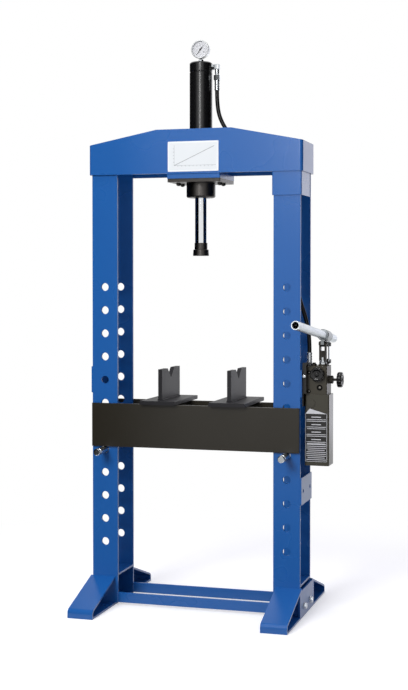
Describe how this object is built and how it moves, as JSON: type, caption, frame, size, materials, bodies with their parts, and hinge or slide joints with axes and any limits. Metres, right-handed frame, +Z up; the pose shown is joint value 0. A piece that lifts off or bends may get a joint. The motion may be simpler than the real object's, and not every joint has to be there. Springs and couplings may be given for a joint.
{
  "type": "manual hydraulic press",
  "caption": "Floor-standing workshop press: welded blue frame, top hydraulic cylinder with pressure gauge, hand pump on the right column, and a height-adjustable table on pins with V-blocks.",
  "frame": {"origin": "on the floor, at the bottom centre of the whole press's box, measured without the hose and its ferrules", "axes": "+Z up, +Y towards the back, +X to the right as seen from the front, the side that carries the pump"},
  "size_m": [0.8144, 0.68, 1.7965],
  "materials": {
    "frame_enamel": "glossy blue stoving enamel on welded steel",
    "table_enamel": "satin near-black paint on flat steel bars",
    "cylinder_black": "gloss black paint on turned steel",
    "clamp_black": "blackened steel",
    "pump_paint": "dark warm grey paint on machined steel",
    "tank_paint": "dark warm grey paint on folded sheet",
    "bracket_black": "black paint on folded sheet",
    "chromed_rod": "hard chromed and ground",
    "blackened_steel": "oil-blackened steel",
    "zinc_steel": "bright zinc plating",
    "lever_zinc": "bright zinc plated tube",
    "spring_steel": "oiled spring wire",
    "knob_plastic": "moulded black phenolic",
    "hose_rubber": "smooth black rubber cover",
    "seal_rubber": "black nitrile rubber",
    "gauge_steel": "polished steel case",
    "dial_white": "white enamelled dial with plain ticks",
    "needle_black": "black needle",
    "gauge_glass": "clear flat window",
    "chart_white": "white printed plate with a plain chart"
  },
  "bodies": {
    "frame": {"left_front_bar": "frame_enamel", "left_rear_bar": "frame_enamel", "right_front_bar": "frame_enamel", "right_rear_bar": "frame_enamel", "beam_front_cheek": "frame_enamel", "beam_rear_cheek": "frame_enamel", "head_plate": "frame_enamel", "clamp_plate": "clamp_black", "clamp_bolts": "clamp_black", "column_head_cover": "frame_enamel", "upper_side_plates": "frame_enamel", "lower_mount_plate": "frame_enamel", "foot_bases": "frame_enamel", "toe_strips": "frame_enamel", "tie_plates": "frame_enamel", "foot_side_plates": "frame_enamel", "foot_lugs": "frame_enamel", "foot_bolts": "zinc_steel", "cross_bars": "frame_enamel", "chart_plate": "chart_white", "cylinder_barrel": "cylinder_black", "cylinder_cap": "cylinder_black", "cylinder_collar": "clamp_black", "wiper_ring": "seal_rubber", "return_spring": "spring_steel", "gauge_stem": "zinc_steel", "gauge_case": "gauge_steel", "gauge_dial": "dial_white", "gauge_glass": "gauge_glass", "elbow_fitting": "zinc_steel", "hose": "hose_rubber", "hose_ferrules": "zinc_steel", "pump_block": "pump_paint", "reservoir": "tank_paint", "pump_bracket": "bracket_black", "pump_screws": "zinc_steel", "filler_plug": "blackened_steel", "side_gland": "blackened_steel"},
    "rod": {"piston": "blackened_steel", "piston_seal": "seal_rubber", "piston_rod": "chromed_rod", "rod_sleeve": "clamp_black", "pressing_foot": "clamp_black"},
    "needle": {"gauge_needle": "needle_black"},
    "front_valve_knob": {"front_knob": "knob_plastic"},
    "side_valve_knob": {"side_knob": "knob_plastic"},
    "plunger_fork": {"plunger": "zinc_steel", "clevis": "blackened_steel", "clevis_pin": "blackened_steel"},
    "links": {"fulcrum_links": "zinc_steel", "link_pins": "blackened_steel"},
    "lever": {"lever_head": "zinc_steel", "lever_tube": "lever_zinc"},
    "table": {"table_front_beam": "table_enamel", "table_rear_beam": "table_enamel", "table_spacers": "table_enamel", "vblock_bases": "table_enamel", "vblock_uprights": "table_enamel"},
    "left_support_pin": {"left_pin": "zinc_steel"},
    "right_support_pin": {"right_pin": "zinc_steel"}
  },
  "joints": [
    {"name": "rod_slide", "type": "slide", "parent": "frame", "child": "rod", "axis": [0, 0, 1], "range_m": [-0.022, 0.138], "deforming": ["return_spring"]},
    {"name": "needle_turn", "type": "hinge", "parent": "frame", "child": "needle", "pos_m": [-0.0528, 0.06399, 1.7675], "axis": [0, 1, 0], "range_deg": [0, 270], "stiffness_Nm_per_rad": 0.002, "springref_deg": -11.46},
    {"name": "front_knob_turn", "type": "hinge", "parent": "frame", "child": "front_valve_knob", "pos_m": [0.3352, 0.01699, 0.749], "axis": [0, -1, 0], "range_deg": [0, 360]},
    {"name": "side_knob_turn", "type": "hinge", "parent": "frame", "child": "side_valve_knob", "pos_m": [0.3902, 0.05399, 0.731], "axis": [1, 0, 0], "range_deg": [0, 360]},
    {"name": "link_swing", "type": "hinge", "parent": "frame", "child": "links", "pos_m": [0.3452, 0.08199, 0.786], "axis": [1, 0, 0], "range_deg": [-1.8, 8]},
    {"name": "lever_swing", "type": "hinge", "parent": "links", "child": "lever", "pos_m": [0.3452, 0.08199, 0.8385], "axis": [1, 0, 0], "range_deg": [-43.9, 9.7]},
    {"name": "plunger_slide", "type": "slide", "parent": "frame", "child": "plunger_fork", "axis": [0, 0, 1], "range_m": [-0.0042, 0.0184]},
    {"name": "table_lift", "type": "slide", "parent": "frame", "child": "table", "axis": [0, 0, 1], "range_m": [0, 0.518]},
    {"name": "left_pin_pull", "type": "slide", "parent": "frame", "child": "left_support_pin", "axis": [0, -1, 0], "range_m": [0, 0.2]},
    {"name": "right_pin_pull", "type": "slide", "parent": "frame", "child": "right_support_pin", "axis": [0, -1, 0], "range_m": [0, 0.2]}
  ],
  "couplings": [
    {"joint": "link_swing", "follows": "lever_swing", "ratio": -0.1803},
    {"joint": "plunger_slide", "follows": "lever_swing", "m_per_rad": -0.02377}
  ]
}
